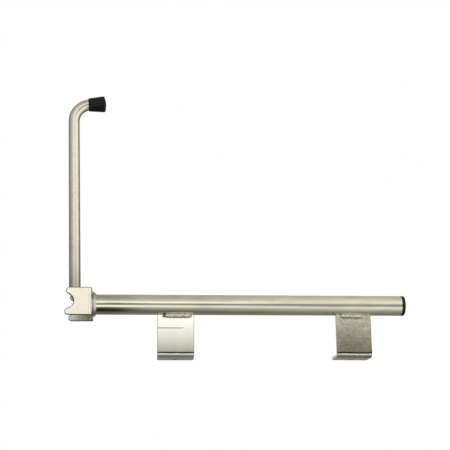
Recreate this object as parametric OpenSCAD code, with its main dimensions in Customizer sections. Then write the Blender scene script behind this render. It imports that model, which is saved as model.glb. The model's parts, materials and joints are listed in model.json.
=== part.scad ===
// Door security bar: a round tube carried on two angle brackets. A bent lever slides and turns
// inside the tube; a spring draws it home into the notched yoke at the tube's left end.
// Working frame: origin on the tube axis at the yoke's outer web face, +X along the tube, +Z up.
// placed() moves it so that the row origin is midway between the two screw holes, on the lips' undersides.

/* [Tube] */
// Outer diameter of the main tube
tube_d = 28; // [27:0.5:32]
// Wall thickness of the main tube
tube_wall = 1.5; // [1.2:0.1:1.8]
// Length of the main tube
tube_l = 427; // [420:1:600]
// Height of the end plug's cap beyond the tube
plug_cap = 6; // [5:0.5:10]

/* [Yoke] */
// Thickness of the folded yoke sheet
yoke_t = 3; // [2:0.5:4]
// Height of the yoke flanges, centred on the tube axis
yoke_h = 38; // [37:1:44]
// Width over both yoke flanges
yoke_w = 50; // [48:1:60]
// Reach of the front flange from the tube end
front_reach = 36; // [34:0.5:40]
// Reach of the rear flange from the tube end
rear_reach = 34.5; // [34:0.5:40]
// Amount by which each upper prong is shorter than the lower one
prong_trim = 1.4; // [0:0.2:2]
// Radius of the half-round notch in each flange
notch_r = 9.6; // [9:0.1:10.5]
// Depth of the notch from the flange tip
notch_depth = 11.6; // [10:0.1:13]
// Leg of the weld fillet between yoke and tube
yoke_weld_leg = 5.2; // [3:0.1:6]

/* [Lever] */
// Diameter of the lever rod
rod_d = 16; // [15:0.5:16]
// Centreline radius of both bends
bend_r = 25; // [24:0.5:30]
// Length of the rod that lies inside the tube
shaft_l = 388; // [380:1:400]
// Straight length of the upright arm between its bends
arm_l = 243; // [180:1:320]
// Lean of the arm away from the tube, in degrees
arm_lean = 1.8; // [0:0.1:4]
// Rise of the rod's end above the horizontal, in degrees
tip_rise = 4; // [0:0.5:8]
// Straight length of the rod after the upper bend
tip_l = 16; // [14:1:24]
// Draw of the lever against its spring
pull_travel = 24; // [20:1:26]

/* [Ferrule] */
// Length of the rubber ferrule
ferrule_l = 25; // [23:0.5:30]
// Diameter of the ferrule at its mouth
ferrule_mouth_d = 18.6; // [18.4:0.1:20]
// Diameter of the ferrule at its closed end
ferrule_end_d = 22.7; // [21:0.1:25]

/* [Mount brackets] */
// Width of each mount bracket along the tube
bracket_w = 50; // [44:1:60]
// Thickness of the mount bracket plate
bracket_t = 4; // [3:0.5:5]
// Distance from the tube axis down to the lips' undersides
bracket_drop = 72.5; // [60:0.5:90]
// Depth of each lip from the front face
lip_depth = 30; // [28:1:40]
// Distance from the lip's front face to its screw hole
hole_set = 21; // [18:0.5:22]
// Diameter of the screw hole in each lip
hole_d = 5.5; // [4.5:0.1:6.5]
// Distance from the tube's left end to the left bracket's hole
first_hole = 113; // [90:1:120]
// Distance between the two screw holes
hole_spacing = 245; // [200:5:260]
// Skew of the right bracket about its screw hole, in degrees
right_skew = 4; // [0:0.5:6]

/* [Hidden] */
$fn = 72;
eps = 0.01;

tube_r = tube_d / 2;
bore_r = tube_r - tube_wall;
rod_r = rod_d / 2;

yoke_fold_in = 2;                       // inside radius of the yoke's two folds
yoke_fold_out = yoke_fold_in + yoke_t;
yoke_weld_hollow = 0.42;                // part of the leg left at the middle of the hollow fillet
yoke_weld_toe = 0.6;                    // thickness of the fillet's two toes
web_hole_r = rod_r + 1.2;               // loose hole in the web; the bushes do the guiding
prong_r = (yoke_h / 2 - notch_r) / 2;   // half the width of a prong, so that its tip is fully round

bend_swell = 0.04;                      // cold bending thickens the rod a hair in its bends
bend_lap = 0.5;                         // length by which a straight is let into a bend
lower_turn = 90 - arm_lean;
upper_turn = 90 + arm_lean - tip_rise;

guide_clear = 0.08;                     // radial running clearance of the rod in its guides
front_bush_l = 24;
bush_lip = 1;                           // chamfer at a bush's mouths
rear_bush_x = 262;
rear_bush_l = 18;
stop_ring_l = 6;
stop_ring_gap = 0.5;                    // radial gap from ring to rod
stop_ring_x = rear_bush_x + rear_bush_l;
spring_x = stop_ring_x + stop_ring_l + 0.1;
spring_wire = 2.5;
spring_mean_r = 10.3;
spring_turns = 11;
spring_spare = 28.5;                    // length left between the coils at full draw
spring_l = spring_turns * spring_wire + pull_travel + spring_spare;
coil_rise = spring_l - spring_wire;
open_pitch = (coil_rise - 2 * spring_wire) / (spring_turns - 2);
spring_sides = 8;
rings_per_turn = 20;
washer_x = spring_x + spring_l + 0.1;
washer_t = 2.5;
washer_gap = 0.4;                       // radial gap from washer to tube
washer_bore_gap = 0.3;                  // radial gap from washer to rod
collar_x = washer_x + washer_t + 0.1;
collar_l = 14;
collar_r = 11.5;
roll_pin_d = 5;
roll_pin_l = 2 * collar_r - 1.5;
roll_pin_wall = 1;
roll_pin_slit = 0.8;

plug_rim = 3.4;                         // straight side of the plug's cap, below its dome
plug_skirt_l = 22;
plug_skirt_t = 2;
plug_rib_count = 4;
plug_rib_start = 2;
plug_rib_pitch = 5;
plug_rib_w = 1.4;
plug_rib_h = 0.6;

ferrule_grip = 3.2;                     // how far the ferrule's mouth reaches back over the bend
ferrule_round = 2.2;
ferrule_lip = 0.6;                      // chamfer round the ferrule's mouth
ferrule_washer_t = 1.5;
ferrule_washer_r = rod_r - 0.2;

fold_in = 3;                            // inside radius of the mount bracket's fold
fold_out = fold_in + bracket_t;
plate_front = -bracket_t / 2;
hole_y = plate_front + hole_set;
second_hole = first_hole + hole_spacing;
crease_drop = 32.5;                     // press line on the left bracket, below the tube axis
crease_l = 35;
crease_depth = 0.4;
edge_cut = 1.5;                         // small corner cuts on the free end of each lip

// Weld beads under the tube: [middle, length] along the tube from each bracket's middle.
left_front_bead = [1.8, 41];
right_front_bead = [-2, 34];
rear_bead = [0, 38];
bead_r = 3.7;
bead_y = 3.6;
bead_z = -tube_r - 1.6;

ZINC = "#c8c6b2";
BRIGHT = "#e4e0c8";
WELD = "#9a9884";
BLACK = "#1c1c1c";
NYLON = "#ece9df";

// ---- placing helpers ----

// Moves the working frame to the row frame.
module placed() {
    translate([-(first_hole + second_hole) / 2, -hole_y, bracket_drop]) children();
}

// Turns a shape built along +Z so that it lies along +X, starting at x.
module along_tube(x) {
    translate([x, 0, 0]) rotate([0, 90, 0]) children();
}

// A plain ring on the tube axis.
module ring(x, length, outer_r, inner_r) {
    along_tube(x) difference() {
        cylinder(r = outer_r, h = length);
        translate([0, 0, -1]) cylinder(r = inner_r, h = length + 2);
    }
}

// ---- the bent rod, walked along its centreline: local +Z is the heading, local +X the turn ----

module elbow(turn) {
    translate([bend_r, 0, 0]) rotate([90, 0, 0]) rotate([0, 0, 180])
        rotate_extrude(angle = -turn) translate([bend_r, 0]) circle(r = rod_r + bend_swell);
}

// A straight stretch from the current point, let into the bends at its ends.
module straight(length, lap_before, lap_after) {
    translate([0, 0, -lap_before]) cylinder(r = rod_r, h = lap_before + length + lap_after);
}

module after_elbow(turn) {
    translate([bend_r * (1 - cos(turn)), 0, bend_r * sin(turn)]) rotate([0, turn, 0]) children();
}

module at_arm_foot() {
    rotate([0, -90, 0]) after_elbow(lower_turn) children();
}

module at_upper_bend() {
    at_arm_foot() translate([0, 0, arm_l]) children();
}

module at_rod_tip() {
    at_upper_bend() after_elbow(upper_turn) children();
}

module rod_solid() {
    along_tube(0) straight(shaft_l, bend_lap, 0);
    rotate([0, -90, 0]) elbow(lower_turn);
    at_arm_foot() straight(arm_l, bend_lap, bend_lap);
    rod_end();
}

module rod_end() {
    at_upper_bend() elbow(upper_turn);
    at_rod_tip() straight(tip_l, bend_lap, 0);
}

module pin_hole() {
    translate([collar_x + collar_l / 2, 0, -roll_pin_l]) cylinder(r = roll_pin_d / 2, h = 2 * roll_pin_l);
}

// ---- tube ----

module main_tube() {
    color(ZINC) placed() ring(0, tube_l, tube_r, bore_r);
}

function dome_outline(r, base, h, steps = 10) =
    [for (i = [0:steps]) [r * cos(90 * i / steps), base + h * sin(90 * i / steps)]];

module tube_end_plug() {
    color(BLACK) placed() along_tube(tube_l) {
        rotate_extrude()
            polygon(concat([[0, 0], [tube_r, 0]], dome_outline(tube_r, plug_rim, plug_cap - plug_rim)));
        translate([0, 0, -plug_skirt_l]) difference() {
            union() {
                cylinder(r = bore_r - plug_rib_h, h = plug_skirt_l + eps);
                for (i = [0:plug_rib_count - 1])
                    translate([0, 0, plug_rib_start + i * plug_rib_pitch])
                        cylinder(r = bore_r, h = plug_rib_w);
            }
            translate([0, 0, -1])
                cylinder(r = bore_r - plug_rib_h - plug_skirt_t, h = plug_skirt_l);
        }
    }
}

// ---- yoke ----

// Plan of the folded channel: web at x = -yoke_t to 0, flanges towards -X.
module yoke_plan() {
    difference() {
        union() {
            translate([-front_reach - 1, -yoke_w / 2]) square([front_reach + 1 - yoke_fold_out, yoke_w]);
            translate([-yoke_fold_out - eps, -yoke_w / 2 + yoke_fold_out])
                square([yoke_fold_out + eps, yoke_w - 2 * yoke_fold_out]);
            for (side = [-1, 1])
                translate([-yoke_fold_out, side * (yoke_w / 2 - yoke_fold_out)]) circle(r = yoke_fold_out);
        }
        translate([-front_reach - 2, -yoke_w / 2 + yoke_t])
            square([front_reach + 2 - yoke_fold_out, yoke_w - 2 * yoke_t]);
        translate([-yoke_fold_out - eps, -yoke_w / 2 + yoke_fold_out])
            square([yoke_fold_in + eps, yoke_w - 2 * yoke_fold_out]);
        for (side = [-1, 1])
            translate([-yoke_fold_out, side * (yoke_w / 2 - yoke_fold_out)]) circle(r = yoke_fold_in);
    }
}

// Side outline of one flange: two round-tipped prongs and the notch between them.
module flange_outline(reach) {
    notch_x = -(reach - notch_depth) - notch_r;
    difference() {
        union() {
            for (side = [-1, 1]) {
                tip = side > 0 ? reach - prong_trim : reach;
                translate([-tip + prong_r, side * (yoke_h / 2 - prong_r)]) circle(r = prong_r);
                translate([-tip + prong_r, side > 0 ? 0 : -yoke_h / 2])
                    square([tip - prong_r + 1, yoke_h / 2]);
            }
        }
        translate([notch_x, 0]) circle(r = notch_r);
        translate([notch_x - 2 * notch_r, -notch_r]) square([2 * notch_r, 2 * notch_r]);
    }
}

module flange_block(reach, side) {
    translate([0, side > 0 ? yoke_w / 2 + 1 : 0, 0]) rotate([90, 0, 0])
        linear_extrude(yoke_w / 2 + 1) flange_outline(reach);
}

module yoke_bracket() {
    color(BRIGHT) placed() difference() {
        intersection() {
            translate([0, 0, -yoke_h]) linear_extrude(2 * yoke_h) yoke_plan();
            union() {
                flange_block(front_reach, -1);
                flange_block(rear_reach, 1);
            }
        }
        along_tube(-yoke_t - 1) cylinder(r = web_hole_r, h = yoke_t + 2);
    }
}

module yoke_weld() {
    middle = yoke_weld_hollow * yoke_weld_leg;
    color(WELD) placed() along_tube(0) rotate_extrude() translate([tube_r, 0])
        polygon([[0, 0], [yoke_weld_leg, 0], [yoke_weld_leg, yoke_weld_toe], [middle, middle],
            [yoke_weld_toe, yoke_weld_leg], [0, yoke_weld_leg]]);
}

// ---- mount brackets: local origin on the tube axis above the bracket's middle ----

module bracket_profile() {
    lip_z = -bracket_drop;
    difference() {
        union() {
            translate([plate_front, lip_z + fold_out])
                square([bracket_t, bracket_drop - fold_out - tube_r + 1]);
            translate([plate_front + fold_out, lip_z]) square([lip_depth - fold_out, bracket_t]);
            intersection() {
                translate([plate_front + fold_out, lip_z + fold_out]) circle(r = fold_out);
                translate([plate_front, lip_z]) square([fold_out + eps, fold_out + eps]);
            }
        }
        translate([plate_front + fold_out, lip_z + fold_out]) circle(r = fold_in);
    }
}

module bracket_solid(creased) {
    difference() {
        translate([-bracket_w / 2, 0, 0]) rotate([90, 0, 90]) linear_extrude(bracket_w) bracket_profile();
        translate([0, hole_y, -bracket_drop - 1]) cylinder(r = hole_d / 2, h = bracket_t + 2);
        for (side = [-1, 1])
            translate([side * bracket_w / 2, plate_front + lip_depth, -bracket_drop - 1]) rotate([0, 0, 45])
                translate([-edge_cut, -edge_cut, 0]) cube([2 * edge_cut, 2 * edge_cut, bracket_t + 2]);
        if (creased)
            translate([-bracket_w / 2 - 1, plate_front, -crease_drop]) rotate([45, 0, 0])
                translate([0, -crease_depth, -crease_depth])
                    cube([crease_l + 1, 2 * crease_depth, 2 * crease_depth]);
    }
}

module at_left_bracket() {
    translate([first_hole, 0, 0]) children();
}

module at_right_bracket() {
    translate([second_hole, hole_y, 0]) rotate([0, 0, right_skew]) translate([0, -hole_y, 0]) children();
}

module tube_clearance() {
    along_tube(-1) cylinder(r = tube_r, h = tube_l + 2);
}

module left_mount_bracket() {
    color(ZINC) placed() difference() {
        at_left_bracket() bracket_solid(true);
        tube_clearance();
    }
}

module right_mount_bracket() {
    color(ZINC) placed() difference() {
        at_right_bracket() bracket_solid(false);
        tube_clearance();
    }
}

// A round-ended bead laid in the corner between tube and plate; side -1 is the front.
module bead(run_at, side) {
    run = run_at[1] - 2 * bead_r;
    translate([run_at[0] - run / 2, side * bead_y, bead_z]) {
        rotate([0, 90, 0]) cylinder(r = bead_r, h = run);
        sphere(r = bead_r);
        translate([run, 0, 0]) sphere(r = bead_r);
    }
}

module plate_clearance() {
    translate([-bracket_w, plate_front, -bracket_drop]) cube([2 * bracket_w, bracket_t, bracket_drop]);
}

module weld_bead(run_at, side) {
    difference() {
        bead(run_at, side);
        plate_clearance();
    }
}

module left_weld_front() {
    color(WELD) placed() difference() {
        at_left_bracket() weld_bead(left_front_bead, -1);
        tube_clearance();
    }
}

module left_weld_rear() {
    color(WELD) placed() difference() {
        at_left_bracket() weld_bead(rear_bead, 1);
        tube_clearance();
    }
}

module right_weld_front() {
    color(WELD) placed() difference() {
        at_right_bracket() weld_bead(right_front_bead, -1);
        tube_clearance();
    }
}

module right_weld_rear() {
    color(WELD) placed() difference() {
        at_right_bracket() weld_bead(rear_bead, 1);
        tube_clearance();
    }
}

// ---- guides and spring inside the tube ----

module guide_bush(x, length) {
    bush_bore = rod_r + guide_clear;
    along_tube(x) rotate_extrude()
        polygon([[bush_bore + bush_lip, 0], [bore_r, 0], [bore_r, length], [bush_bore + bush_lip, length],
            [bush_bore, length - bush_lip], [bush_bore, bush_lip]]);
}

module front_guide_bush() {
    color(NYLON) placed() guide_bush(0, front_bush_l);
}

module rear_guide_bush() {
    color(NYLON) placed() guide_bush(rear_bush_x, rear_bush_l);
}

module spring_stop_ring() {
    color(ZINC) placed() ring(stop_ring_x, stop_ring_l, bore_r, rod_r + stop_ring_gap);
}

module thrust_washer() {
    color(ZINC) placed() ring(washer_x, washer_t, bore_r - washer_gap, rod_r + washer_bore_gap);
}

// Height of the coil's centreline after t turns: one closed turn at each end, open turns between.
function coil_height(t) =
    t < 1 ? spring_wire * t :
    t > spring_turns - 1 ? coil_rise - spring_wire * (spring_turns - t) :
    spring_wire + open_pitch * (t - 1);

function coil_ring(t) = [for (s = [0:spring_sides - 1])
    let (a = 360 * s / spring_sides, r = spring_mean_r + spring_wire / 2 * cos(a))
    [r * cos(360 * t), r * sin(360 * t), spring_wire / 2 + coil_height(t) + spring_wire / 2 * sin(a)]];

module return_spring() {
    rings = spring_turns * rings_per_turn;
    points = [for (i = [0:rings]) each coil_ring(i / rings_per_turn)];
    skin = [for (i = [0:rings - 1], s = [0:spring_sides - 1])
        let (a = i * spring_sides + s, b = i * spring_sides + (s + 1) % spring_sides)
        each [[a, b, a + spring_sides], [b, b + spring_sides, a + spring_sides]]];
    first_cap = [[for (s = [spring_sides - 1:-1:0]) s]];
    last_cap = [[for (s = [0:spring_sides - 1]) rings * spring_sides + s]];
    color(ZINC) placed() along_tube(spring_x) polyhedron(points, concat(skin, first_cap, last_cap));
}

// ---- lever ----

module lever_rod() {
    color(BRIGHT) placed() difference() {
        rod_solid();
        pin_hole();
    }
}

module retaining_collar() {
    color(ZINC) placed() difference() {
        ring(collar_x, collar_l, collar_r, rod_r);
        pin_hole();
    }
}

module roll_pin() {
    color(ZINC) placed() translate([collar_x + collar_l / 2, 0, -roll_pin_l / 2])
        difference() {
            cylinder(r = roll_pin_d / 2, h = roll_pin_l);
            translate([0, 0, -1]) cylinder(r = roll_pin_d / 2 - roll_pin_wall, h = roll_pin_l + 2);
            translate([0, -roll_pin_slit / 2, -1]) cube([roll_pin_d, roll_pin_slit, roll_pin_l + 2]);
        }
}

function corner_arc(x, z, r, steps = 5) =
    [for (i = [0:steps]) [x + r * cos(90 * i / steps), z + r * sin(90 * i / steps)]];

module lever_ferrule() {
    mouth_r = ferrule_mouth_d / 2;
    end_r = ferrule_end_d / 2;
    floor_z = ferrule_grip + tip_l;
    color(BLACK) placed() difference() {
        at_rod_tip() translate([0, 0, -ferrule_grip]) rotate_extrude()
            polygon(concat([[0, 0], [mouth_r - ferrule_lip, 0], [mouth_r, ferrule_lip]],
                corner_arc(end_r - ferrule_round, ferrule_l - ferrule_round, ferrule_round),
                [[0, ferrule_l]]));
        rod_end();
        at_rod_tip() translate([0, 0, floor_z - ferrule_grip - eps])
            cylinder(r = ferrule_washer_r, h = ferrule_washer_t + eps);
    }
}

module ferrule_washer() {
    color(ZINC) placed() at_rod_tip() translate([0, 0, tip_l])
        cylinder(r = ferrule_washer_r, h = ferrule_washer_t);
}

main_tube();
yoke_bracket();
yoke_weld();
left_mount_bracket();
right_mount_bracket();
left_weld_front();
left_weld_rear();
right_weld_front();
right_weld_rear();
tube_end_plug();
front_guide_bush();
rear_guide_bush();
spring_stop_ring();
return_spring();
thrust_washer();
lever_rod();
retaining_collar();
roll_pin();
lever_ferrule();
ferrule_washer();
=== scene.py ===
"""Looks for the door security bar: detailed pieces, materials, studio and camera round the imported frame."""

import json
import math

import bmesh
import bpy
from mathutils import Matrix, Vector, noise


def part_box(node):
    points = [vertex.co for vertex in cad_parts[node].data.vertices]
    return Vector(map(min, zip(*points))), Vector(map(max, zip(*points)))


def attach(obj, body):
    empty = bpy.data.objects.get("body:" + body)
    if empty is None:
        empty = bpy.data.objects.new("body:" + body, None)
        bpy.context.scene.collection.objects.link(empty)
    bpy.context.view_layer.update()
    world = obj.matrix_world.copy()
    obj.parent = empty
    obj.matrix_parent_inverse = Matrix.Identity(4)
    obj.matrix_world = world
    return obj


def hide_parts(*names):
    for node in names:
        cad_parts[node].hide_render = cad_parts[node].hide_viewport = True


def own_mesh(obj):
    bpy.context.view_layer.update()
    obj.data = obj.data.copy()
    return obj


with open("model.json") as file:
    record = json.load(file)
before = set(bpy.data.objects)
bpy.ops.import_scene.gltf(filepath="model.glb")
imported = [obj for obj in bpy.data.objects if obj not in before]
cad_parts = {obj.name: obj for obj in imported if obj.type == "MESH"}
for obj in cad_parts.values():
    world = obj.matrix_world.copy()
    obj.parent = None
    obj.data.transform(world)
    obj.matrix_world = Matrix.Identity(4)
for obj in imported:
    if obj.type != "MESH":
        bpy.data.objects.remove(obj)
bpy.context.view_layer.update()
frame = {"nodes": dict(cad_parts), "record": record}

# ---- reference places, from the frame ----

MM = 0.001
TUBE_LOW, TUBE_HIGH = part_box("main_tube")
TUBE_R = (TUBE_HIGH.z - TUBE_LOW.z) / 2
AXIS_Y = (TUBE_HIGH.y + TUBE_LOW.y) / 2
AXIS_Z = (TUBE_HIGH.z + TUBE_LOW.z) / 2
TUBE_END = Vector((TUBE_LOW.x, AXIS_Y, AXIS_Z))
ROD_R = 8 * MM
BORE_R = 12.5 * MM
MOUNTS = {m["name"]: m for m in frame["record"]["mounts"]}
HALF_SPACING = MOUNTS["foot_holes"]["dims"]["spacing_x_mm"] * MM / 2
RIGHT_SKEW = math.radians(4)

LEFT_BRACKET = Matrix.Translation((-HALF_SPACING, AXIS_Y, AXIS_Z))
RIGHT_BRACKET = (
    Matrix.Translation((HALF_SPACING, 0, AXIS_Z))
    @ Matrix.Rotation(RIGHT_SKEW, 4, "Z")
    @ Matrix.Translation((0, AXIS_Y, 0))
)


# ---- mesh helpers ----


def new_object(name, bm, material, smooth_angle=40):
    """Turns a bmesh into a linked object with its material and smooth shading up to an angle."""
    bmesh.ops.recalc_face_normals(bm, faces=bm.faces)
    mesh = bpy.data.meshes.new(name)
    bm.to_mesh(mesh)
    bm.free()
    for face in mesh.polygons:
        face.use_smooth = True
    mesh.set_sharp_from_angle(angle=math.radians(smooth_angle))
    obj = bpy.data.objects.new(name, mesh)
    bpy.context.scene.collection.objects.link(obj)
    mesh.materials.append(material)
    return obj


def stand_for(obj, body, slot, *nodes):
    """Rides a piece on its body and hides the CAD nodes it stands for."""
    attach(obj, body)
    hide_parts(*nodes)
    return obj


def skin(bm, rings, closed_ends=True):
    """Joins closed rings of points into a surface, and caps its two ends if asked."""
    made = [[bm.verts.new(p) for p in ring] for ring in rings]
    count = len(made[0])
    for a, b in zip(made, made[1:]):
        for i in range(count):
            j = (i + 1) % count
            bm.faces.new((a[i], a[j], b[j], b[i]))
    if closed_ends:
        bm.faces.new(made[0])
        bm.faces.new(list(reversed(made[-1])))
    return made


def axis_frame(origin, direction):
    """Matrix whose +Z runs along direction from origin."""
    return Matrix.Translation(origin) @ Vector(direction).to_track_quat("Z", "Y").to_matrix().to_4x4()


def lathe(name, outline, matrix, material, segments):
    """Spins an outline of (along, radius) points round the matrix's Z axis."""
    bm = bmesh.new()
    rings = []
    for along, radius in outline:
        ring = []
        for i in range(segments):
            a = 2 * math.pi * i / segments
            ring.append(matrix @ Vector((radius * math.cos(a), radius * math.sin(a), along)))
        rings.append(ring)
    skin(bm, rings)
    return new_object(name, bm, material, 35)


def arc(centre, radius, start, end, steps):
    """Points (along, radius) of an arc, angles in degrees from the along axis."""
    out = []
    for i in range(steps + 1):
        a = math.radians(start + (end - start) * i / steps)
        out.append((centre[0] + radius * math.cos(a), centre[1] + radius * math.sin(a)))
    return out


def softened(node, material, edge_material, width, inside=None, inside_shade_material=None):
    """Copy of a CAD node with its sheared edges rounded, as on plated sheet steel.
    Its material slots are 0 the sheet, 1 the rounded edges and 2 the inside, painted darker as shade.
    inside: tells from a face's centre and normal whether it takes the inside's painted shade."""
    bm = bmesh.new()
    bm.from_mesh(frame["nodes"][node].data)
    bmesh.ops.remove_doubles(bm, verts=bm.verts, dist=0.002 * MM)
    bmesh.ops.dissolve_limit(bm, angle_limit=math.radians(1), verts=bm.verts, edges=bm.edges)
    if inside:
        bmesh.ops.recalc_face_normals(bm, faces=bm.faces)
        for face in bm.faces:
            if inside(face.calc_center_median(), face.normal):
                face.material_index = 2
    obj = new_object(node + "_sheet", bm, material)
    bevel = obj.modifiers.new("rounded_edges", "BEVEL")
    bevel.width = width
    bevel.segments = 3
    bevel.limit_method = "ANGLE"
    bevel.angle_limit = math.radians(60)
    bevel.use_clamp_overlap = False
    bevel.material = 1
    obj.data.materials.append(edge_material)
    if inside_shade_material:
        obj.data.materials.append(inside_shade_material)
    weigh = obj.modifiers.new("flat_faces", "WEIGHTED_NORMAL")
    weigh.weight = 100
    weigh.keep_sharp = True
    return obj


# ---- material helpers ----


class NodeTree:
    """Short names for filling a node tree."""

    def __init__(self, tree):
        self.tree = tree
        tree.nodes.clear()

    def add(self, kind, **values):
        node = self.tree.nodes.new(kind)
        for key, value in values.items():
            setattr(node, key, value)
        return node

    def join(self, a, b):
        self.tree.links.new(a, b)

    def maths(self, how, a, b=None):
        """Result of a sum on sockets or plain numbers."""
        node = self.add("ShaderNodeMath", operation=how)
        for socket, value in zip(node.inputs, (a, b)):
            if isinstance(value, (int, float)):
                socket.default_value = value
            elif value is not None:
                self.join(value, socket)
        return node.outputs[0]


class Nodes(NodeTree):
    """A new material, built round one Principled shader."""

    def __init__(self, name):
        self.material = bpy.data.materials.new(name)
        self.material.use_nodes = True
        super().__init__(self.material.node_tree)
        self.output = self.add("ShaderNodeOutputMaterial")
        self.shader = self.add("ShaderNodeBsdfPrincipled")
        self.join(self.shader.outputs["BSDF"], self.output.inputs["Surface"])
        self.place = self.add("ShaderNodeTexCoord").outputs["Object"]

    def stretched(self, scale):
        """Object coordinates scaled along each axis."""
        node = self.add("ShaderNodeMapping")
        node.inputs["Scale"].default_value = scale
        self.join(self.place, node.inputs["Vector"])
        return node.outputs["Vector"]

    def noise(self, scale, detail, rough=0.55, stretch=(1, 1, 1), distortion=0.0):
        node = self.add("ShaderNodeTexNoise")
        node.inputs["Scale"].default_value = scale
        node.inputs["Detail"].default_value = detail
        node.inputs["Roughness"].default_value = rough
        node.inputs["Distortion"].default_value = distortion
        self.join(self.stretched(stretch), node.inputs["Vector"])
        return node.outputs["Fac"]

    def ramp(self, fac, stops):
        """Colour by a value, from stops of (value, colour)."""
        node = self.add("ShaderNodeValToRGB")
        elements = node.color_ramp.elements
        while len(elements) < len(stops):
            elements.new(0.5)
        for element, (pos, colour) in zip(elements, stops):
            element.position = pos
            element.color = (*colour, 1)
        self.join(fac, node.inputs["Fac"])
        return node.outputs["Color"]

    def level(self, fac, low, high, from_low=0.3, from_high=0.7):
        """Value carried over from its own range to the one from low to high."""
        node = self.add("ShaderNodeMapRange")
        node.inputs["From Min"].default_value = from_low
        node.inputs["From Max"].default_value = from_high
        node.inputs["To Min"].default_value = low
        node.inputs["To Max"].default_value = high
        self.join(fac, node.inputs["Value"])
        return node.outputs["Result"]

    def multiply(self, a, b):
        """Product of two colours."""
        node = self.add("ShaderNodeMix", data_type="RGBA", blend_type="MULTIPLY")
        node.inputs["Factor"].default_value = 1.0
        self.join(a, node.inputs[6])
        self.join(b, node.inputs[7])
        return node.outputs[2]

    def bump(self, height, distance):
        node = self.add("ShaderNodeBump")
        node.inputs["Distance"].default_value = distance
        node.inputs["Strength"].default_value = 1.0
        self.join(height, node.inputs["Height"])
        self.join(node.outputs["Normal"], self.shader.inputs["Normal"])


def plated(name, tints, rough, grain, grain_depth, blotch=22, mottle=160, waviness=0.0, shades=None,
           ragged=0.0, smear=(1, 1, 1), speckle=0.86, dents=None):
    """Zinc-plated steel. tints: dark to light colours; rough: (low, high); grain: stretch of the fine lines;
    smear: stretch of the blotches; speckle: darkest of the fine mottling;
    dents: (scale, depth) of small hollows;
    shades: painted shade, as (height in m, brightness) up the piece, each strayed from by up to ragged
    metres."""
    n = Nodes(name)
    broad = n.noise(blotch, 5, 0.6, stretch=smear, distortion=0.6)
    fine = n.noise(mottle, 6, 0.65, stretch=smear)
    lines = n.noise(90, 4, 0.6, stretch=grain)
    steps = len(tints) - 1
    colour = n.ramp(broad, [(0.28 + 0.44 * i / steps, tint) for i, tint in enumerate(tints)])
    shade = n.ramp(fine, [(0.3, (speckle, speckle, speckle * 0.98)), (0.7, (1, 1, 1))])
    colour = n.multiply(colour, shade)
    # Painted shade by height, its darker steps a little warmer.
    if shades:
        split = n.add("ShaderNodeSeparateXYZ")
        n.join(n.place, split.inputs[0])
        height = n.maths("ADD", split.outputs[2], n.level(broad, -ragged, ragged))
        low, high = shades[0][0], shades[-1][0]
        stops = [((z - low) / (high - low), (left, left, left * (0.86 + 0.14 * left))) for z, left in shades]
        colour = n.multiply(colour, n.ramp(n.level(height, 0.0, 1.0, low, high), stops))
    n.join(colour, n.shader.inputs["Base Color"])
    spread = n.maths("ADD", n.level(fine, -0.03, 0.03), n.level(broad, *rough))
    n.join(n.maths("ADD", spread, n.level(lines, -0.02, 0.03)), n.shader.inputs["Roughness"])
    height = n.maths("ADD", n.level(lines, 0.0, 1.0, 0.0, 1.0), n.maths("MULTIPLY", broad, waviness))
    if dents:
        scale, depth = dents
        hollows = n.noise(scale, 3, 0.5, stretch=smear)
        height = n.maths("ADD", height, n.maths("MULTIPLY", hollows, depth))
    n.bump(height, grain_depth)
    n.shader.inputs["Metallic"].default_value = 1.0
    return n.material


def zinc_tube():
    return plated(
        "zinc_tube_steel",
        [(0.71, 0.71, 0.51), (0.84, 0.82, 0.64), (0.92, 0.89, 0.74)],
        (0.05, 0.10), grain=(0.02, 1, 1), grain_depth=0.012 * MM, blotch=50, smear=(0.25, 1, 1),
    )


# Painted shade: the rod is painted darker low down, near the yoke.
def zinc_rod():
    return plated(
        "zinc_rod_steel",
        [(0.74, 0.69, 0.56), (0.86, 0.81, 0.67), (0.92, 0.89, 0.76)],
        (0.22, 0.30), grain=(1, 1, 0.04), grain_depth=0.008 * MM,
        shades=[(0.080, 0.52), (0.098, 0.56), (0.125, 0.80), (0.17, 1.0)], ragged=0.008,
    )


def zinc_yoke():
    return plated(
        "zinc_yoke_steel",
        [(0.90, 0.82, 0.66), (0.95, 0.92, 0.76), (0.98, 0.96, 0.84)],
        (0.15, 0.24), grain=(1, 1, 0.08), grain_depth=0.04 * MM, blotch=60, mottle=260, waviness=1.5,
    )


# Painted shade and light of a mount plate from its lip up to the fold: (height in m, brightness). The lip's
# underside is painted darker as shade, the bend is left bright as a painted highlight, and the dark line at
# the start of the fold is a painted dark reflection in the bend, as the photograph shows it.
FOLD_PAINTED_SHADE = [
    (0.0, 0.80), (0.0026, 0.86), (0.0032, 1.0), (0.0047, 1.0), (0.0052, 0.11), (0.0070, 0.11),
]


def zinc_yoke_inside_painted_shade():
    """The yoke's faces inside its channel, painted darker and greener as shade in the channel."""
    return plated(
        "zinc_yoke_inside_steel",
        [(0.70, 0.72, 0.60), (0.78, 0.80, 0.67), (0.86, 0.87, 0.75)],
        (0.30, 0.40), grain=(1, 1, 0.08), grain_depth=0.03 * MM, blotch=60, mottle=260,
    )


# Painted shade: the plate's colour darkens from its top down towards the fold.
def zinc_left_plate():
    return plated(
        "zinc_left_plate_steel",
        [(0.93, 0.92, 0.80), (0.97, 0.96, 0.86), (0.99, 0.985, 0.92)],
        (0.08, 0.15), grain=(1, 1, 0.06), grain_depth=0.02 * MM, blotch=45, mottle=220, waviness=1.2,
        shades=FOLD_PAINTED_SHADE + [(0.0078, 0.40), (0.013, 0.50), (0.024, 0.68), (0.040, 0.88), (0.052, 1.0)],
        ragged=0.0004, speckle=0.92,
    )


# Painted shade: the plate's colour darkens from its top down towards the fold. Its darker, browner tints are
# partly painted shade, for how light falls on this plate, and partly its own mottled, smudged plating.
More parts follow.
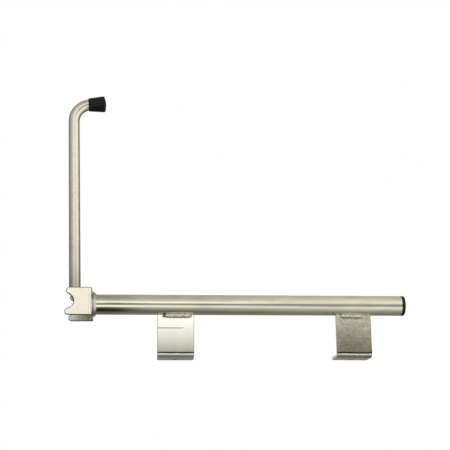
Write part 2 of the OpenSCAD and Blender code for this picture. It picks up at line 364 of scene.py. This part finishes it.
def zinc_right_plate():
    return plated(
        "zinc_right_plate_steel",
        [(0.64, 0.59, 0.46), (0.78, 0.73, 0.58), (0.94, 0.89, 0.72)],
        (0.14, 0.26), grain=(0.10, 1, 1), grain_depth=0.04 * MM, blotch=80, mottle=380, waviness=1.2,
        shades=FOLD_PAINTED_SHADE + [(0.0078, 0.42), (0.016, 0.50), (0.030, 0.66), (0.044, 0.90), (0.052, 1.0)],
        ragged=0.0005, smear=(0.85, 1, 1), speckle=0.64, dents=(420, 4.0),
    )


# Painted shade: the sheet's rounded edges painted near-black, standing in for dark reflections along them.
def edge_painted_shade():
    return plated(
        "sheared_edge_steel",
        [(0.06, 0.055, 0.045), (0.11, 0.10, 0.08), (0.18, 0.165, 0.13)],
        (0.34, 0.50), grain=(1, 1, 1), grain_depth=0.04 * MM, blotch=200, mottle=700,
    )


# Painted highlight: a lighter copy of the edge colour, for the right bracket's edges.
def edge_painted_highlight():
    return plated(
        "edge_painted_highlight_steel",
        [(0.40, 0.37, 0.30), (0.52, 0.49, 0.40), (0.66, 0.63, 0.52)],
        (0.26, 0.40), grain=(1, 1, 1), grain_depth=0.04 * MM, blotch=200, mottle=700,
    )


def weld_metal():
    """Plated weld metal, painted near-black as shadow where a bead's shadow attribute is 1."""
    material = plated(
        "plated_weld_metal",
        [(0.34, 0.33, 0.26), (0.70, 0.68, 0.56), (0.94, 0.93, 0.84)],
        (0.14, 0.30), grain=(1, 1, 1), grain_depth=0.10 * MM, blotch=220, mottle=600, waviness=1.5,
    )
    tree = material.node_tree
    shader = next(node for node in tree.nodes if node.type == "BSDF_PRINCIPLED")
    painted_shadow = tree.nodes.new("ShaderNodeAttribute")
    painted_shadow.attribute_name = "painted_shadow"
    mix = tree.nodes.new("ShaderNodeMix")
    mix.data_type = "RGBA"
    mix.inputs[7].default_value = (0.012, 0.011, 0.010, 1)
    tree.links.new(painted_shadow.outputs["Fac"], mix.inputs["Factor"])
    tree.links.new(shader.inputs["Base Color"].links[0].from_socket, mix.inputs[6])
    tree.links.new(mix.outputs[2], shader.inputs["Base Color"])
    return material


def turned_steel():
    return plated(
        "turned_steel",
        [(0.46, 0.46, 0.45), (0.56, 0.56, 0.55), (0.64, 0.64, 0.63)],
        (0.26, 0.38), grain=(2, 1, 1), grain_depth=0.02 * MM,
    )


def spring_wire():
    return plated(
        "spring_wire_steel",
        [(0.26, 0.26, 0.27), (0.36, 0.36, 0.37), (0.46, 0.46, 0.46)],
        (0.30, 0.42), grain=(1, 1, 1), grain_depth=0.02 * MM,
    )


def moulded(name, dark, light, rough, bump_scale, bump_depth, specular=0.5):
    """Moulded rubber or plastic: a fine speckle in colour, roughness and height."""
    n = Nodes(name)
    speckle = n.noise(bump_scale, 5, 0.7)
    broad = n.noise(60, 3, 0.5)
    average = n.maths("MULTIPLY", n.maths("ADD", speckle, broad), 0.5)
    n.join(n.ramp(average, [(0.35, dark), (0.65, light)]), n.shader.inputs["Base Color"])
    n.join(n.level(broad, *rough), n.shader.inputs["Roughness"])
    n.bump(speckle, bump_depth)
    n.shader.inputs["Specular IOR Level"].default_value = specular
    return n.material


def black_rubber():
    return moulded("black_rubber_moulding", (0.003, 0.003, 0.003), (0.009, 0.008, 0.008), (0.45, 0.60), 900,
                   0.05 * MM, specular=0.25)


def black_plastic():
    return moulded("black_plastic_moulding", (0.005, 0.004, 0.004), (0.014, 0.010, 0.009), (0.16, 0.26), 500,
                   0.01 * MM, specular=0.25)


def natural_nylon():
    return moulded("natural_nylon_moulding", (0.72, 0.70, 0.63), (0.82, 0.80, 0.74), (0.38, 0.50), 400,
                   0.02 * MM)


# The CAD nodes that are shown as they are.
MATERIALS = {
    "main_tube": zinc_tube(),
    "lever_rod": zinc_rod(),
    "front_guide_bush": natural_nylon(),
    "spring_stop_ring": turned_steel(),
    "roll_pin": spring_wire(),
}
for twin, first in (
    ("rear_guide_bush", "front_guide_bush"),
    ("thrust_washer", "spring_stop_ring"),
    ("retaining_collar", "spring_stop_ring"),
    ("ferrule_washer", "spring_stop_ring"),
):
    MATERIALS[twin] = MATERIALS[first]


def dress_cad_nodes():
    """Gives the CAD nodes that are shown as they are their materials."""
    for node, material in MATERIALS.items():
        mesh = frame["nodes"][node].data
        mesh.materials.clear()
        mesh.materials.append(material)


# ---- pieces ----


def between_flanges(centre, normal):
    """True for the yoke's faces that look into its channel, which take the painted shade."""
    low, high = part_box("yoke_bracket")
    margin = 2 * MM
    within = low.y + margin < centre.y < high.y - margin and centre.x < high.x - margin
    on_web = normal.x < -0.1
    on_front_flange = centre.y < AXIS_Y and normal.y > 0.1
    on_rear_flange = centre.y > AXIS_Y and normal.y < -0.1
    return within and abs(normal.z) < 0.5 and (on_web or on_front_flange or on_rear_flange)


def sheet_pieces():
    """Yoke and both brackets, with rounded edges."""
    # The yoke and left bracket take the edge colour painted dark as shade; the right bracket takes the
    # lighter copy, a painted highlight.
    edge = edge_painted_shade()
    yoke = softened("yoke_bracket", zinc_yoke(), edge, 1.05 * MM, inside=between_flanges,
                    inside_shade_material=zinc_yoke_inside_painted_shade())
    stand_for(yoke, "frame", "zinc_yoke", "yoke_bracket")
    left = softened("left_mount_bracket", zinc_left_plate(), edge, 0.5 * MM)
    stand_for(left, "frame", "zinc_plate", "left_mount_bracket")
    right = softened("right_mount_bracket", zinc_right_plate(), edge_painted_highlight(), 0.4 * MM)
    stand_for(right, "frame", "zinc_plate", "right_mount_bracket")


def ripple(run, across, pitch):
    """Height from 0 to 1 of a stack of overlapping weld puddles, whose edges bow forward in the middle."""
    phase = (run - 0.35 * pitch * (1 - across * across)) / pitch
    step = phase - math.floor(phase)
    return 1 - (1 - step) ** 2


# A bracket bead's middle line, from the tube's axis, and its radius.
BEAD_Y, BEAD_Z, BEAD_R = 3.6 * MM, -15.6 * MM, 3.55 * MM
# From one weld puddle to the next.
BEAD_PITCH, RING_PITCH = 2.6 * MM, 2.9 * MM
CRATER_HALF = 2.2 * MM


def weld_bead(name, node, matrix, middle, length, side, material, seed, crater=0.0):
    """A rippled fillet bead between the tube's underside and a bracket plate.
    crater: how far along a sunken start lies, painted black as shadow in its hollow, or 0 for none."""
    steps, spans = 110, 14
    start_angle, sweep = math.radians(112), math.radians(196)
    half = length / 2
    rings = []
    for i in range(steps + 1):
        run = -half + length * i / steps
        taper = math.sqrt(max(0.0, 1 - (abs(run) / half) ** 5))
        ring = []
        for j in range(spans + 1):
            across = 2 * j / spans - 1
            a = start_angle + sweep * j / spans
            rough = noise.noise(Vector((run * 260, across * 2.1, seed)))
            size = BEAD_R * (0.84 + 0.13 * ripple(run, across, BEAD_PITCH) + 0.06 * rough)
            size *= 0.35 + 0.65 * taper
            if crater:
                size *= 1 - 0.42 * max(0.0, 1 - abs(half + run - crater) / CRATER_HALF)
            y = -BEAD_Y + size * math.cos(a)
            z = BEAD_Z + size * math.sin(a)
            ring.append(matrix @ Vector((middle + run, -side * y, z)))
        inner = Vector((middle + run, side * 1.0 * MM, -TUBE_R + 0.6 * MM))
        ring.append(matrix @ inner)
        rings.append(ring)
    bm = bmesh.new()
    painted_shadow = bm.verts.layers.float.new("painted_shadow")
    made = skin(bm, rings)
    # Painted shadow: the bead's sunken start is painted black, fading out over CRATER_HALF each way.
    for i, ring in enumerate(made):
        run = length * i / steps
        for vert in ring:
            vert[painted_shadow] = max(0.0, 1 - abs(run - crater) / CRATER_HALF) if crater else 0.0
    obj = new_object(name, bm, material, 60)
    return stand_for(obj, "frame", "weld_steel", node)


def bracket_welds(metal):
    """The two beads along each bracket's plate, front and rear."""
    for name, node, matrix, middle, length, side, seed, crater in (
        ("left_front_bead", "left_weld_front", LEFT_BRACKET, 1.8 * MM, 40.6 * MM, -1, 1.5, 3 * MM),
        ("left_rear_bead", "left_weld_rear", LEFT_BRACKET, 0.0, 37.6 * MM, 1, 7.5, 0.0),
        ("right_front_bead", "right_weld_front", RIGHT_BRACKET, -2 * MM, 33.6 * MM, -1, 13.5, 0.0),
        ("right_rear_bead", "right_weld_rear", RIGHT_BRACKET, 0.0, 37.6 * MM, 1, 21.5, 0.0),
    ):
        weld_bead(name, node, matrix, middle, length, side, metal, seed, crater)


def yoke_ring_weld(metal):
    """The rippled fillet all round the tube where it meets the yoke's web."""
    leg, root_r = 5.2 * MM, TUBE_R - 0.3 * MM
    spans, segments = 12, 220
    rings = []
    for i in range(segments + 1):
        a = 2 * math.pi * i / segments
        ring = []
        for j in range(spans + 1):
            t = j / spans
            hollow = 0.20 * math.sin(math.pi * t)
            run = leg * (t * (1 - hollow))
            rise = leg * (1 - t) * (1 - hollow)
            swell = 0.28 * MM * math.sin(math.pi * t) * ripple(a * TUBE_R, 2 * t - 1, RING_PITCH)
            rough = 0.15 * MM * noise.noise(Vector((math.cos(a) * 4, math.sin(a) * 4, t * 2)))
            r = TUBE_R + max(0.0, rise + swell + rough * math.sin(math.pi * t))
            ring.append(TUBE_END + Vector((run + swell, r * math.cos(a), r * math.sin(a))))
        ring.append(TUBE_END + Vector((0, root_r * math.cos(a), root_r * math.sin(a))))
        rings.append(ring)
    bm = bmesh.new()
    skin(bm, rings[:-1] + [rings[0]], closed_ends=False)
    bmesh.ops.remove_doubles(bm, verts=bm.verts, dist=0.001 * MM)
    obj = new_object("yoke_ring_bead", bm, metal, 60)
    stand_for(obj, "frame", "weld_steel", "yoke_weld")


def rubber_ferrule():
    """Flared rubber ferrule with a beaded mouth and a crowned, ringed sole."""
    face = MOUNTS["ferrule_end_face"]
    length, mouth_r, end_r, edge = 25 * MM, 9.3 * MM, 11.35 * MM, 2.4 * MM
    crown = 1.6 * MM
    direction = Vector(face["axis"])
    start = Vector(face["pos_m"]) - direction * length
    bore = ROD_R + 0.12 * MM
    depth = 19 * MM
    outline = [(depth, 0.0), (depth, bore), (0.7 * MM, bore)]
    outline += arc((0.6 * MM, bore + 0.6 * MM), 0.6 * MM, 270, 180, 5)[1:]
    outline += arc((0.5 * MM, mouth_r - 0.5 * MM), 0.5 * MM, 180, 90, 5)
    shoulder = length - crown - edge
    flare = (end_r - mouth_r) / shoulder
    outline += [(x * MM, mouth_r + flare * x * MM) for x in range(3, 20, 3)]
    outline += arc((shoulder, end_r - edge), edge, 88, 12, 8)
    flat_r = outline[-1][1]
    for i in range(1, 13):
        r = flat_r * (1 - i / 12)
        groove = 0.35 * MM if i in (3, 7) else 0.0
        outline.append((length - crown * (r / flat_r) ** 2 - groove, r))
    obj = lathe("rubber_ferrule", outline, axis_frame(start, direction), black_rubber(), 96)
    stand_for(obj, "lever", "black_rubber", "lever_ferrule")


def end_plug():
    """Domed plug with a ribbed skirt inside the tube."""
    cap, rim, corner = 5.95 * MM, 3.2 * MM, 1.9 * MM
    skirt, wall, rib = 22 * MM, 2 * MM, 0.55 * MM
    inner = BORE_R - rib - wall
    outline = [(-1.5 * MM, 0.0), (-1.5 * MM, inner), (-skirt, inner), (-skirt, inner + wall)]
    rib_r = BORE_R - 0.02 * MM
    for i in range(4):
        base = -skirt + (2 + 5 * i) * MM
        outline += [(base, BORE_R - rib), (base + 0.3 * MM, rib_r)]
        outline += [(base + 1.1 * MM, rib_r), (base + 1.4 * MM, BORE_R - rib)]
    outline += [(0.0, BORE_R - rib), (0.0, TUBE_R - 0.4 * MM), (0.35 * MM, TUBE_R)]
    outline += arc((rim, TUBE_R - corner), corner, 90, 20, 8)
    shoulder, flat_r = outline[-1]
    for i in range(1, 11):
        r = flat_r * (1 - i / 10)
        outline.append((shoulder + (cap - shoulder) * (1 - (r / flat_r) ** 2), r))
    matrix = axis_frame(Vector((TUBE_HIGH.x, AXIS_Y, AXIS_Z)), (1, 0, 0))
    obj = lathe("domed_end_plug", outline, matrix, black_plastic(), 128)
    stand_for(obj, "frame", "black_plastic", "tube_end_plug")


def coil_spring():
    """The return spring as a smooth coil with closed ends."""
    low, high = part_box("return_spring")
    length = high.x - low.x
    wire, mean_r, turns = 1.25 * MM, 10.3 * MM, 11
    per_turn, sides = 36, 14
    rise = length - 2 * wire
    pitch = (rise - 4 * wire) / (turns - 2)
    rings = []
    for i in range(turns * per_turn + 1):
        t = i / per_turn
        if t < 1:
            along = 2 * wire * t
        elif t > turns - 1:
            along = rise - 2 * wire * (turns - t)
        else:
            along = 2 * wire + pitch * (t - 1)
        a = 2 * math.pi * t
        outward = Vector((0, math.cos(a), math.sin(a)))
        centre = Vector((low.x + wire + along, AXIS_Y, AXIS_Z)) + outward * mean_r
        ring = []
        for s in range(sides):
            b = 2 * math.pi * s / sides
            ring.append(centre + outward * wire * math.cos(b) + Vector((wire * math.sin(b), 0, 0)))
        rings.append(ring)
    bm = bmesh.new()
    skin(bm, rings)
    obj = new_object("coil_return_spring", bm, spring_wire(), 50)
    stand_for(obj, "frame", "spring_steel", "return_spring")
    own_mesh(obj)


# ---- studio ----

# Brightness of the studio that the metal reflects. Its values were set from the bright and dark bands
# that the photograph shows on the tube, and then by comparing renders. It stands still in the scene,
# whichever way the camera looks. FAN holds places across the studio: the x of a direction of length 1.
# A row of PANELS is an angle round the tube's axis, in degrees from straight out in front of the bar (-Y),
# up positive, and then the brightness at each place in FAN.
FAN = (-0.060, -0.040, 0.0, 0.225, 0.32)
PANELS = [
    (-180, 0.50, 0.50, 0.50, 0.70, 0.70), (-168, 0.16, 0.16, 0.18, 0.24, 0.20),
    (-141, 0.22, 0.22, 0.26, 0.22, 0.16), (-109, 0.13, 0.13, 0.17, 0.22, 0.20),
    (-86, 0.02, 0.02, 0.17, 0.35, 0.20), (-64, 0.03, 0.03, 0.32, 0.54, 0.36),
    (-53, 0.06, 0.06, 0.44, 0.66, 0.80), (-46, 0.14, 0.14, 0.58, 0.78, 1.20),
    (-37, 0.80, 0.80, 0.85, 0.92, 1.40), (-25, 1.45, 1.45, 1.15, 0.68, 0.90),
    (-14, 0.55, 0.55, 0.55, 0.40, 0.18), (-4, 0.05, 0.05, 0.26, 0.34, 0.16),
    (2, 0.60, 0.08, 0.30, 0.42, 0.26), (8, 1.15, 0.62, 1.20, 0.74, 0.62),
    (13, 1.15, 0.62, 1.20, 0.88, 0.82), (19, 1.20, 1.30, 1.10, 0.92, 0.95),
    (33, 0.80, 0.70, 0.76, 0.98, 1.00), (42, 0.50, 0.42, 0.66, 0.92, 0.84),
    (54, 0.40, 0.40, 0.54, 0.84, 0.70), (70, 0.36, 0.36, 0.50, 0.74, 0.56),
    (87, 0.33, 0.33, 0.50, 0.66, 0.50), (106, 0.36, 0.36, 0.50, 0.56, 0.44),
    (134, 0.40, 0.40, 0.48, 0.52, 0.42), (158, 0.95, 0.95, 0.95, 0.95, 0.95),
    (180, 0.50, 0.50, 0.50, 0.70, 0.70),
]
# Its brightness all round, for directions further out to the side than FAN_REACH:
# (bearing in degrees from straight out in front, +X positive, brightness).
SURROUND = [
    (-180, 1.10), (-158, 1.10), (-140, 0.10), (-112, 0.24), (-90, 0.34), (-62, 0.48), (-35, 0.66), (0, 0.95),
    (35, 1.05), (58, 1.15), (74, 1.00), (92, 0.55), (112, 0.20), (140, 0.08), (165, 0.12), (180, 0.60),
]
# The panels end softly between these two distances from the fan's middle.
FAN_MIDDLE = 0.1
FAN_REACH = (0.34, 0.55)

# The floor lies below the camera, which looks up at the bar.
FLOOR_Z = -0.42
FLOOR_HALF = 30
FLOOR_GLOW = 0.74

# name, place, what it points at, size, watts
LIGHTS = [
    ("key", (-0.9, -1.3, 1.4), (-0.05, 0, 0.15), (0.9, 0.9), 14),
    ("fill", (1.2, -1.0, 0.6), (0, 0, 0.1), (1.0, 1.0), 6),
]

CAMERA_PLACE = TUBE_END + Vector((0.079, -1.301, -0.268))
CAMERA_LENS = 77.1
CAMERA_SENSOR = 36
CAMERA_SHIFT = (-0.019, 0.0815)
CAMERA_PITCH = math.radians(14.18)
CAMERA_BEARING = math.radians(5.03)
CAMERA_ROLL = math.radians(0.74)


class WorldNodes(NodeTree):
    """Nodes that set the studio's brightness by direction."""

    def round_ramp(self, angle, stops):
        """Brightness by an angle in radians, from stops of (degrees, brightness)."""
        ramp = self.add("ShaderNodeValToRGB")
        ramp.color_ramp.interpolation = "EASE"
        elements = ramp.color_ramp.elements
        while len(elements) < len(stops):
            elements.new(0.5)
        for element, (degrees, level) in zip(elements, stops):
            element.position = degrees / 360 + 0.5
            element.color = (level, level, level, 1)
        turn = self.maths("ADD", self.maths("DIVIDE", angle, 2 * math.pi), 0.5)
        self.join(turn, ramp.inputs["Fac"])
        return ramp.outputs["Color"]

    def blend(self, value, low, high, a, b):
        """a where value is under low, b where it is over high."""
        span = self.add("ShaderNodeMapRange", interpolation_type="SMOOTHSTEP")
        span.inputs["From Min"].default_value = low
        span.inputs["From Max"].default_value = high
        self.join(value, span.inputs["Value"])
        mix = self.add("ShaderNodeMix", data_type="RGBA")
        self.join(span.outputs["Result"], mix.inputs["Factor"])
        self.join(a, mix.inputs[6])
        self.join(b, mix.inputs[7])
        return mix.outputs[2]


def studio_world():
    """White where the camera sees it; to everything else, soft panels and dark gaps set by direction."""
    world = bpy.data.worlds.new("studio")
    bpy.context.scene.world = world
    world.use_nodes = True
    n = WorldNodes(world.node_tree)
    split = n.add("ShaderNodeSeparateXYZ")
    n.join(n.add("ShaderNodeTexCoord").outputs["Generated"], split.inputs[0])
    x, y, z = split.outputs
    ahead = n.maths("MULTIPLY", y, -1.0)
    round_axis = n.maths("ARCTAN2", z, ahead)
    light = n.round_ramp(round_axis, [(row[0], row[1]) for row in PANELS])
    for column in range(1, len(FAN)):
        step = n.round_ramp(round_axis, [(row[0], row[column + 1]) for row in PANELS])
        light = n.blend(x, FAN[column - 1], FAN[column], light, step)
    bearing = n.round_ramp(n.maths("ARCTAN2", x, ahead), SURROUND)
    light = n.blend(n.maths("ABSOLUTE", n.maths("SUBTRACT", x, FAN_MIDDLE)), *FAN_REACH, light, bearing)
    panels = n.add("ShaderNodeBackground")
    n.join(light, panels.inputs["Color"])
    plain = n.add("ShaderNodeBackground")
    plain.inputs["Color"].default_value = (1, 1, 1, 1)
    choose = n.add("ShaderNodeMixShader")
    n.join(n.add("ShaderNodeLightPath").outputs["Is Camera Ray"], choose.inputs["Fac"])
    n.join(panels.outputs[0], choose.inputs[1])
    n.join(plain.outputs[0], choose.inputs[2])
    n.join(choose.outputs[0], n.add("ShaderNodeOutputWorld").inputs["Surface"])


def pale_floor():
    """A wide pale floor that glows a little, and is left out of the metal's reflections and bounced light."""
    n = Nodes("pale_floor_paint")
    grain = n.noise(60, 2)
    greys = [(0.3, (0.34, 0.34, 0.34)), (0.7, (0.36, 0.36, 0.36))]
    n.join(n.ramp(grain, greys), n.shader.inputs["Base Color"])
    n.join(n.level(grain, 0.85, 0.95), n.shader.inputs["Roughness"])
    n.shader.inputs["Emission Color"].default_value = (1, 1, 1, 1)
    n.shader.inputs["Emission Strength"].default_value = FLOOR_GLOW
    bm = bmesh.new()
    bmesh.ops.create_grid(bm, x_segments=8, y_segments=8, size=FLOOR_HALF)
    bmesh.ops.translate(bm, verts=bm.verts, vec=(0, 0, FLOOR_Z))
    floor = new_object("floor", bm, n.material)
    floor.visible_glossy = False
    floor.visible_diffuse = False


def soft_light(name, place, aim, size, watts):
    """A soft rectangular light, itself left out of reflections."""
    data = bpy.data.lights.new(name, "AREA")
    data.shape = "RECTANGLE"
    data.size, data.size_y = size
    data.energy = watts
    obj = bpy.data.objects.new(name, data)
    obj.location = place
    obj.rotation_euler = (Vector(aim) - Vector(place)).to_track_quat("-Z", "Y").to_euler()
    obj.visible_glossy = False
    bpy.context.scene.collection.objects.link(obj)


def camera():
    """Below the object and left of its middle, looking slightly up and to the right."""
    data = bpy.data.cameras.new("camera")
    data.sensor_width = CAMERA_SENSOR
    data.lens = CAMERA_LENS
    data.shift_x, data.shift_y = CAMERA_SHIFT
    obj = bpy.data.objects.new("camera", data)
    obj.location = CAMERA_PLACE
    look = Matrix.Rotation(-CAMERA_BEARING, 4, "Z") @ Matrix.Rotation(math.radians(90) + CAMERA_PITCH, 4, "X")
    obj.rotation_euler = (look @ Matrix.Rotation(-CAMERA_ROLL, 4, "Z")).to_euler()
    bpy.context.scene.collection.objects.link(obj)
    bpy.context.scene.camera = obj


camera()
studio_world()
pale_floor()
for light in LIGHTS:
    soft_light(*light)
dress_cad_nodes()
sheet_pieces()
bead_metal = weld_metal()
bracket_welds(bead_metal)
yoke_ring_weld(bead_metal)
rubber_ferrule()
end_plug()
coil_spring()
bpy.context.scene.view_settings.view_transform = "Standard"
bpy.context.scene.view_settings.look = "None"
